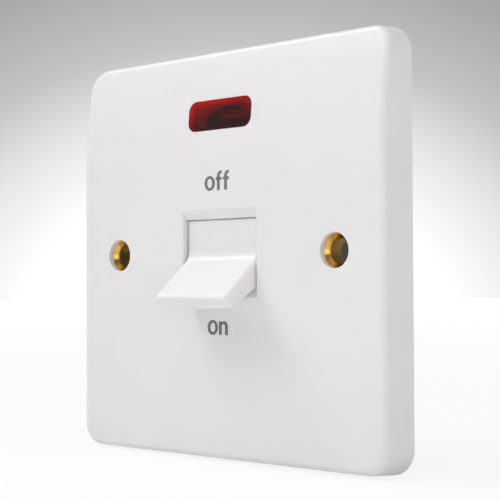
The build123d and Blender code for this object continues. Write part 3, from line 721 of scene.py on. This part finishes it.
class SWITCH_OT_plate_and_lever(bpy.types.Operator):
    """Gives the front plate and the lever their white moulding"""

    bl_idname = "switch_looks.plate_and_lever"
    bl_label = "Plate and lever"

    def execute(self, context):
        finishes = context.scene.switch_finishes
        # Urea moulding from a polished tool: bright neutral white, glossy, with a faint orange peel.
        white = moulding(
            "moulded_white_urea", finishes.plate_white, finishes.plate_shade,
            cloud_mm=18.0, grain_mm=1.2, roughness=(0.30, 0.38), grain_depth_mm=0.012,
        )
        finish_nodes(white, "front_plate", "switch_lever")
        return {"FINISHED"}


class SWITCH_OT_words(bpy.types.Operator):
    """Prints the words off and on above and below the lever"""

    bl_idname = "switch_looks.words"
    bl_label = "Printed words"

    def execute(self, context):
        words = context.scene.switch_words
        ink = printed_ink()
        stem, bar = words.stem / MM, words.bar / MM
        # Steps from the left edge of the o to the stems that follow it, in millimetres.
        first_f, second_f, n_stem = 3.54, 5.58, 3.2
        left = words.off_left / MM
        outlines = letter_o(left, stem, bar)
        outlines += letter_f(left + first_f, stem, bar) + letter_f(left + second_f, stem, bar)
        add_piece("word_off", word_mesh("word_off", outlines, words.off_baseline, words.ink), ink, HOUSING)
        left = words.on_left / MM
        outlines = letter_o(left, stem, bar) + letter_n(left + n_stem, stem, bar)
        add_piece("word_on", word_mesh("word_on", outlines, words.on_baseline, words.ink), ink, HOUSING)
        return {"FINISHED"}


class SWITCH_OT_indicator(bpy.types.Operator):
    """Dresses the neon indicator: red lens, lamp with its electrodes, cover, leads and resistor"""

    bl_idname = "switch_looks.indicator"
    bl_label = "Neon indicator"

    def execute(self, context):
        finishes = context.scene.switch_finishes
        finish_nodes(clear_red_lens(), "neon_lens")
        # Black phenolic cover: matt, so that the unlit lamp looks dark through the lens.
        cover = moulding(
            "moulded_black_cover", linear("#2E2A28"), linear("#242120"),
            cloud_mm=8.0, grain_mm=0.6, roughness=(0.5, 0.65), grain_depth_mm=0.02,
        )
        finish_nodes(cover, "lamp_cover")
        # Extruded plastic sleeve: dark grey, with a satin shine.
        sleeve = moulding(
            "extruded_lead_sleeve", finishes.sleeve, linear("#343437"),
            cloud_mm=3.0, grain_mm=0.4, roughness=(0.4, 0.55), grain_depth_mm=0.02,
        )
        finish_nodes(sleeve, "lamp_leads")
        finish_nodes(banded_resistor(), "series_resistor")
        low, high = (Vector(corner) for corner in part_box("neon_lamp"))
        bulb = bulb_mesh("lamp_bulb", low, high)
        glass = add_piece("lamp_bulb", bulb, lamp_glass(), HOUSING)
        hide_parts("neon_lamp")
        # Drawn nickel: warm grey, with fine draw marks along the rods.
        nickel = metal(
            "drawn_nickel", linear("#B5B1A8"), linear("#8E8A82"),
            streak_mm=1.0, grain_mm=0.2, roughness=(0.29, 0.4), stretch=(0.2, 1, 1),
        )
        electrodes = electrode_mesh("lamp_electrodes", (low + high) / 2)
        add_piece("lamp_electrodes", electrodes, nickel, HOUSING)
        return {"FINISHED"}


class SWITCH_OT_metalwork(bpy.types.Operator):
    """Dresses the eyelets, terminals, screws and earth strap"""

    bl_idname = "switch_looks.metalwork"
    bl_label = "Eyelets, terminals and screws"

    def execute(self, context):
        finishes = context.scene.switch_finishes
        finish_nodes(turned_brass(), "fixing_eyelets")
        # Extruded brass bar, sawn off: long draw marks and a duller skin than the turned eyelets.
        bar = metal(
            "extruded_brass_bar", finishes.brass, finishes.brass_dark,
            streak_mm=5.0, grain_mm=0.35, roughness=(0.29, 0.42), stretch=(1, 1, 0.12),
        )
        terminals = [f"{pole}_{end}_terminal" for pole in POLES for end in ("load", "supply")]
        finish_nodes(bar, "earth_terminal", *terminals)
        # Stamped, tinned brass strip: pale yellow-grey with rolling marks along it.
        strip = metal(
            "stamped_earth_strip", finishes.strip, finishes.brass_dark,
            streak_mm=9.0, grain_mm=0.3, roughness=(0.3, 0.45), stretch=(0.15, 1, 0.6),
        )
        finish_nodes(strip, "earth_strap")
        # Bright zinc plate on steel: cool grey with a soft, slightly mottled shine.
        zinc = metal(
            "zinc_plated_steel", finishes.zinc, linear("#9C9EA1"),
            streak_mm=2.0, grain_mm=0.25, roughness=(0.28, 0.42),
        )
        finish_nodes(zinc, "base_screws")
        self.wind_screws(context, "terminal_screws", zinc, four_of_radius=2.4 * MM)
        self.wind_screws(context, "earth_terminal_screw", zinc)
        return {"FINISHED"}

    def wind_screws(self, context, name, material, four_of_radius=None):
        """Replaces a node's plain screws by threaded ones: four in its corners, or one that fills it."""
        detail = context.scene.switch_screws
        low, high = (Vector(corner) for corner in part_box(name))
        middle, half = (low + high) / 2, (high - low) / 2
        radius = four_of_radius or half.x
        sides = (-1, 1) if four_of_radius else (0,)
        places = [
            (middle.x + right * (half.x - radius), middle.y, middle.z + up * (half.z - radius))
            for right in sides
            for up in sides
        ]
        sizes = {
            "Radius": radius, "Length": 2 * half.y, "Pitch": detail.pitch, "Thread Depth": detail.thread_depth,
            "Slot Width": detail.slot_width, "Slot Depth": detail.slot_depth,
        }
        tree = clamp_screw_tree(material, places, sizes)
        mesh = grown_mesh(name + "_threaded", tree, sizes)
        thread_crease = math.radians(40)
        mesh.shade_smooth()
        mesh.set_sharp_from_angle(angle=thread_crease)
        piece = add_piece(name + "_threaded", mesh, material, HOUSING)
        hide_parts(name)


class SWITCH_OT_base(bpy.types.Operator):
    """Gives the moulded base its matt thermoset finish"""

    bl_idname = "switch_looks.base"
    bl_label = "Base"

    def execute(self, context):
        finishes = context.scene.switch_finishes
        # Mineral-filled thermoset: matt charcoal with fine pale specks and a dry grain.
        body = moulding(
            "moulded_filled_thermoset", finishes.base_charcoal, finishes.base_speck,
            cloud_mm=1.6, grain_mm=0.5, roughness=(0.5, 0.65), grain_depth_mm=0.03,
        )
        finish_nodes(body, "switch_base")
        return {"FINISHED"}


class SWITCH_OT_mechanism(bpy.types.Operator):
    """Dresses the contact mechanism inside the base"""

    bl_idname = "switch_looks.mechanism"
    bl_label = "Contact mechanism"

    def execute(self, context):
        finishes = context.scene.switch_finishes
        # Rolled and stamped copper: warm, with rolling marks along the strip.
        copper = metal(
            "rolled_copper", finishes.copper, linear("#8F5538"),
            streak_mm=4.0, grain_mm=0.3, roughness=(0.28, 0.42), stretch=(1, 1, 0.15),
        )
        # Silver alloy buttons: pale, smooth, a little tarnished.
        silver = metal(
            "silver_alloy", finishes.silver, linear("#B4B0A4"),
            streak_mm=1.5, grain_mm=0.2, roughness=(0.29, 0.38),
        )
        # Drawn spring wire: mid grey with a soft shine.
        wire = metal(
            "drawn_spring_wire", finishes.spring, linear("#6E7072"),
            streak_mm=1.0, grain_mm=0.15, roughness=(0.29, 0.4),
        )
        # Moulded nylon: dark grey, waxy.
        nylon = moulding(
            "moulded_nylon", finishes.nylon, linear("#454648"),
            cloud_mm=2.0, grain_mm=0.3, roughness=(0.35, 0.5), grain_depth_mm=0.02,
        )
        finish_nodes(silver, "fixed_contact_tips")
        for pole in POLES:
            finish_nodes(copper, f"{pole}_contact_arm", f"{pole}_fixed_contact", f"{pole}_fulcrum_strip")
            finish_nodes(silver, f"{pole}_moving_tip")
            merged_copy(f"{pole}_plunger", nylon, f"{pole}_plunger")
            spring = merged_copy(f"{pole}_plunger_spring", wire, "lever")
            self.press_spring(spring, f"{pole}_plunger_slide")
        return {"FINISHED"}

    def press_spring(self, spring, joint_name):
        """Gives a spring its own copy of its mesh."""
        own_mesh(spring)


class SWITCH_OT_stage(bpy.types.Operator):
    """Sets up the floor, backdrop, lamps and camera"""

    bl_idname = "switch_looks.stage"
    bl_label = "Stage"

    def execute(self, context):
        setting = context.scene.switch_stage
        context.scene.view_settings.view_transform = "Standard"
        turn = self.line_of_sight(setting)
        self.camera(context, setting, turn)
        self.room(context, setting)
        self.lamps(context, setting)
        # Pale studio paper: near white, with a faint soft shadow under what stands on it.
        floor = self.sheet("floor", self.paper("pale_floor_paper", share=self.pool))
        floor.location = (0, 0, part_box("front_plate")[0][2])
        # Backdrop paper with a painted pool of light: white low in the middle, light grey towards the top
        # corners.
        backdrop = self.sheet("backdrop", self.paper("backdrop_paper", tone=self.glow))
        forward = turn @ Vector((0, 0, -1))
        backdrop.matrix_world = Matrix.Translation(
            Vector(setting.camera_place) + forward * setting.glow_distance
        ) @ turn.to_4x4()
        return {"FINISHED"}

    def line_of_sight(self, setting):
        """The camera's turn as a matrix."""
        level = math.cos(setting.pitch)
        forward = Vector(
            (-math.sin(setting.yaw) * level, math.cos(setting.yaw) * level, math.sin(setting.pitch))
        )
        right = Vector((math.cos(setting.yaw), math.sin(setting.yaw), 0))
        up = right.cross(forward)
        right = right * math.cos(setting.roll) + up * math.sin(setting.roll)
        return Matrix((right, right.cross(forward), -forward)).transposed()

    def camera(self, context, setting, turn):
        data = bpy.data.cameras.new("camera")
        data.lens = setting.lens
        data.sensor_width = 36.0
        data.clip_start = 0.005
        viewer = bpy.data.objects.new("camera", data)
        context.scene.collection.objects.link(viewer)
        viewer.matrix_world = Matrix.Translation(Vector(setting.camera_place)) @ turn.to_4x4()
        context.scene.camera = viewer

    def room(self, context, setting):
        """A light tent: brightest overhead and dimmer at eye level, where the viewer stands."""
        world = bpy.data.worlds.new("room")
        world.use_nodes = True
        tree = world.node_tree
        tree.nodes.clear()
        direction = add_node(tree, "ShaderNodeTexCoord").outputs["Generated"]
        towards = add_node(tree, "ShaderNodeSeparateXYZ", {"Vector": direction}).outputs
        strength = add_node(
            tree, "ShaderNodeMapRange",
            {"Value": towards["Z"], "To Min": setting.horizon, "To Max": setting.zenith},
        ).outputs["Result"]
        # The viewer and the reflections see the pale room itself: white low down, light grey overhead.
        shown = add_node(
            tree, "ShaderNodeMapRange", {"Value": towards["Z"], "From Max": 0.6, "To Min": 1.0, "To Max": 0.45}
        ).outputs["Result"]
        # Reflections of the viewer's side of the room are dimmer, because no lamp stands there.
        side = add_node(
            tree, "ShaderNodeMapRange",
            {"Value": towards["Y"], "From Min": -0.7, "From Max": 0.3, "To Min": 0.35, "To Max": 1.0},
        ).outputs["Result"]
        mirrored = add_node(tree, "ShaderNodeLightPath").outputs["Is Glossy Ray"]
        side = add_node(tree, "ShaderNodeMix", {0: mirrored, 2: 1.0, 3: side}).outputs[0]
        shown = add_node(tree, "ShaderNodeMath", {0: shown, 1: side}, operation="MULTIPLY").outputs[0]
        level = add_node(tree, "ShaderNodeMix", {0: self.seen(tree), 2: strength, 3: shown}).outputs[0]
        light = add_node(tree, "ShaderNodeBackground", {"Color": (*linear("#FFFFFF"), 1), "Strength": level})
        add_node(tree, "ShaderNodeOutputWorld", {"Surface": light.outputs["Background"]})
        context.scene.world = world

    def lamps(self, context, setting):
        """Square soft lamps: each has its power, tint, width, spread in degrees, place and aim."""
        middle = (0, 0, 0)
        over_floor = Vector((0.08, -0.24, 0.26))
        floor = over_floor - Vector((0, 0, 1))
        white, warm = linear("#FFFFFF"), linear("#FFF8EF")
        for name, power, tint, width, spread, place, aim in (
            ("key_lamp", setting.key, white, 0.35, 180, (-0.42, -0.28, 0.58), middle),
            ("top_lamp", setting.top, white, 1.0, 180, (-0.05, -0.45, 0.85), middle),
            ("fill_lamp", setting.fill, warm, 0.5, 180, (0.5, -0.35, -0.02), middle),
            ("table_lamp", setting.table, white, 0.2, 60, over_floor, floor),
        ):
            data = bpy.data.lights.new(name, "AREA")
            data.energy = power
            data.color = tint
            data.size = width
            data.spread = math.radians(spread)
            lamp = bpy.data.objects.new(name, data)
            lamp.location = place
            lamp.rotation_euler = (Vector(aim) - Vector(place)).to_track_quat("-Z", "Y").to_euler()
            context.scene.collection.objects.link(lamp)

    def sheet(self, name, material):
        """A flat square sheet of the stage."""
        half = 3.0
        corners = [(-half, -half, 0), (half, -half, 0), (half, half, 0), (-half, half, 0)]
        mesh = bpy.data.meshes.new(name)
        mesh.from_pydata(corners, [], [(0, 1, 2, 3)])
        mesh.materials.append(material)
        piece = bpy.data.objects.new(name, mesh)
        bpy.context.scene.collection.objects.link(piece)
        return piece

    def glow(self, tree, place):
        """The backdrop's tone: a wide, painted pool of light that falls off to grey."""
        setting = bpy.context.scene.switch_stage
        height = setting.glow_radius
        width = height * setting.glow_stretch
        from_middle = add_node(
            tree, "ShaderNodeMapping",
            {
                "Vector": place, "Location": (setting.glow_shift / width, setting.glow_drop / height, 0),
                "Scale": (1 / width, 1 / height, 0),
            },
        ).outputs["Vector"]
        distance = add_node(tree, "ShaderNodeVectorMath", {0: from_middle}, operation="LENGTH").outputs["Value"]
        # Tones at shares of the glow's radius.
        ramp = add_node(tree, "ShaderNodeValToRGB", {"Fac": distance})
        stops = ramp.color_ramp.elements
        stops[0].position, stops[0].color = 0.46, (*linear("#FFFFFF"), 1)
        stops[1].position, stops[1].color = 1.0, (*linear("#A8A8AA"), 1)
        stops.new(0.62).color = (*linear("#E8E8EA"), 1)
        stops.new(0.78).color = (*linear("#C4C4C6"), 1)
        return ramp.outputs["Color"]

    def seen(self, tree):
        """1 where the viewer looks, straight, mirrored or through glass, and 0 for light on the object."""
        path = add_node(tree, "ShaderNodeLightPath").outputs
        seen = path["Is Camera Ray"]
        for other in ("Is Glossy Ray", "Is Transmission Ray"):
            seen = add_node(tree, "ShaderNodeMath", {0: seen, 1: path[other]}, operation="MAXIMUM").outputs[0]
        return seen

    def pool(self, tree, place):
        """The floor's unshaded share: it holds the shadow near the object, and is plain white far away."""
        distance = add_node(tree, "ShaderNodeVectorMath", {0: place}, operation="LENGTH").outputs["Value"]
        near, far, near_share = 150 * MM, 900 * MM, 0.86
        return add_node(
            tree, "ShaderNodeMapRange",
            {"Value": distance, "From Min": near, "From Max": far, "To Min": near_share, "To Max": 1.0},
        ).outputs["Result"]

    def paper(self, name, tone=None, share=None):
        """Matt paper that the viewer sees without shading, in white or its own tone, all of it or a share."""
        material, tree, shader, place = start_material(name, Roughness=0.9)
        cloud(tree, shader, place, 4.0, linear("#EAEAEA"), linear("#E4E4E4"))
        colour = tone(tree, place) if tone else (*linear("#FFFFFF"), 1)
        plain = add_node(tree, "ShaderNodeEmission", {"Color": colour, "Strength": 1.0})
        seen = self.seen(tree)
        if share:
            seen = add_node(
                tree, "ShaderNodeMath", {0: seen, 1: share(tree, place)}, operation="MULTIPLY"
            ).outputs[0]
        mixed = add_node(
            tree, "ShaderNodeMixShader", {0: seen, 1: shader.outputs["BSDF"], 2: plain.outputs["Emission"]}
        )
        finish_surface(tree, mixed.outputs["Shader"])
        return material


OPERATORS = (
    SWITCH_OT_plate_and_lever,
    SWITCH_OT_words,
    SWITCH_OT_indicator,
    SWITCH_OT_metalwork,
    SWITCH_OT_base,
    SWITCH_OT_mechanism,
    SWITCH_OT_stage,
)


class SWITCH_PT_looks(bpy.types.Panel):
    """Lists the operators that dress the switch"""

    bl_idname = "SWITCH_PT_looks"
    bl_label = "Double pole switch"
    bl_space_type = "VIEW_3D"
    bl_region_type = "UI"
    bl_category = "Switch"

    def draw(self, context):
        for operator in OPERATORS:
            self.layout.operator(operator.bl_idname)


GROUPS = {
    "switch_finishes": SwitchFinishes,
    "switch_words": PrintedWords,
    "switch_screws": ScrewDetail,
    "switch_stage": StageSetting,
}


def register():
    for kind in (*GROUPS.values(), *OPERATORS, SWITCH_PT_looks):
        bpy.utils.register_class(kind)
    for name, kind in GROUPS.items():
        setattr(bpy.types.Scene, name, bpy.props.PointerProperty(type=kind))


def unregister():
    for name in GROUPS:
        delattr(bpy.types.Scene, name)
    for kind in reversed((*GROUPS.values(), *OPERATORS, SWITCH_PT_looks)):
        bpy.utils.unregister_class(kind)


def main():
    register()
    bpy.ops.switch_looks.plate_and_lever()
    bpy.ops.switch_looks.words()
    bpy.ops.switch_looks.indicator()
    bpy.ops.switch_looks.metalwork()
    bpy.ops.switch_looks.base()
    bpy.ops.switch_looks.mechanism()
    bpy.ops.switch_looks.stage()


if __name__ == "__main__":
    main()
